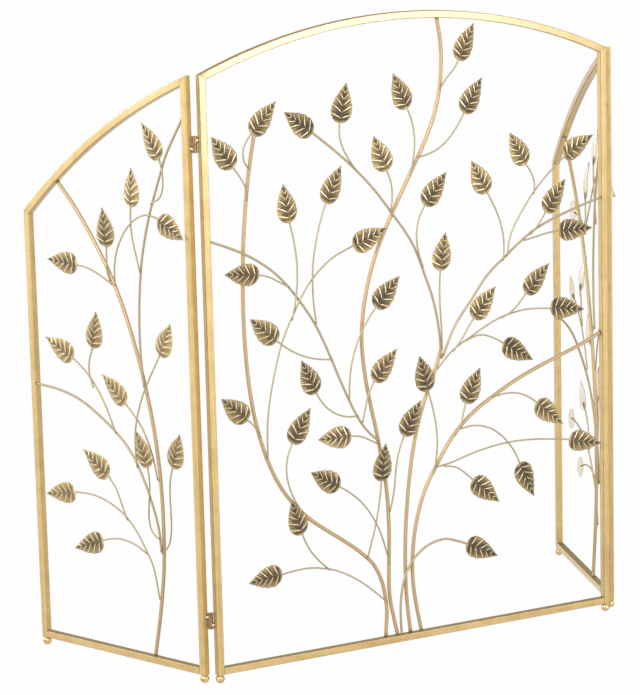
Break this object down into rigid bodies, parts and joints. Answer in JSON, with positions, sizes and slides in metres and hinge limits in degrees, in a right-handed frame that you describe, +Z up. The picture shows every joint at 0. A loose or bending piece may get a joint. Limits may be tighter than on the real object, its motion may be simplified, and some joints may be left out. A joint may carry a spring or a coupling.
{
  "type": "folding fireplace screen",
  "caption": "Free-standing fireplace screen: an arched centre panel and two hinged wings of square tube, filled with bent rod vines and pressed leaves.",
  "frame": {"origin": "on the floor under the middle of the screen's overall box", "axes": "+X to the right seen from the front, +Y to the back where the wings fold, +Z up"},
  "size_m": [0.8458, 0.3068, 0.8444],
  "materials": {
    "frame_gold": "semi-gloss brushed gold",
    "rod_gold": "satin antique gold",
    "leaf_gold": "antique gold with dark patina in the veins",
    "bright_gold": "polished gold"
  },
  "bodies": {
    "centre_panel": {"centre_left_post": "frame_gold", "centre_right_post": "frame_gold", "centre_arched_rail": "frame_gold", "centre_bottom_rail": "frame_gold", "centre_feet": "bright_gold", "centre_left_stem": "rod_gold", "centre_tall_stem": "rod_gold", "centre_forked_stem": "rod_gold", "centre_right_stem": "rod_gold", "centre_low_branch": "rod_gold", "centre_top_left_branch": "rod_gold", "centre_upper_right_branch": "rod_gold", "centre_left_post_branch": "rod_gold", "centre_mid_right_vine": "rod_gold", "centre_inner_left_vine": "rod_gold", "centre_low_left_vine": "rod_gold", "centre_high_right_vine": "rod_gold", "centre_low_right_vine": "rod_gold", "centre_left_twigs": "rod_gold", "centre_tall_twigs": "rod_gold", "centre_post_branch_twigs": "rod_gold", "centre_fork_twigs": "rod_gold", "centre_right_twigs": "rod_gold", "centre_left_leaves": "leaf_gold", "centre_tall_leaves": "leaf_gold", "centre_post_branch_leaves": "leaf_gold", "centre_fork_leaves": "leaf_gold", "centre_right_leaves": "leaf_gold", "left_hinge_centre_knuckles": "bright_gold", "left_hinge_pins": "bright_gold", "right_hinge_centre_knuckles": "bright_gold", "right_hinge_pins": "bright_gold"},
    "left_wing": {"left_wing_hinge_post": "frame_gold", "left_wing_outer_post": "frame_gold", "left_wing_arched_rail": "frame_gold", "left_wing_bottom_rail": "frame_gold", "left_wing_feet": "bright_gold", "left_wing_stem": "rod_gold", "left_wing_inner_branch": "rod_gold", "left_wing_outer_branch": "rod_gold", "left_wing_low_vine": "rod_gold", "left_wing_twigs": "rod_gold", "left_wing_upper_leaves": "leaf_gold", "left_wing_lower_leaves": "leaf_gold", "left_hinge_wing_knuckles": "bright_gold"},
    "right_wing": {"right_wing_hinge_post": "frame_gold", "right_wing_outer_post": "frame_gold", "right_wing_arched_rail": "frame_gold", "right_wing_bottom_rail": "frame_gold", "right_wing_feet": "bright_gold", "right_wing_stem": "rod_gold", "right_wing_inner_branch": "rod_gold", "right_wing_outer_branch": "rod_gold", "right_wing_low_vine": "rod_gold", "right_wing_twigs": "rod_gold", "right_wing_upper_leaves": "leaf_gold", "right_wing_lower_leaves": "leaf_gold", "right_hinge_wing_knuckles": "bright_gold"}
  },
  "joints": [
    {"name": "left_fold", "type": "hinge", "parent": "centre_panel", "child": "left_wing", "pos_m": [-0.3085, -0.13426, 0.39], "axis": [0, 0, -1], "range_deg": [-100, 104]},
    {"name": "right_fold", "type": "hinge", "parent": "centre_panel", "child": "right_wing", "pos_m": [0.3085, -0.13426, 0.39], "axis": [0, 0, 1], "range_deg": [-100, 104]}
  ]
}
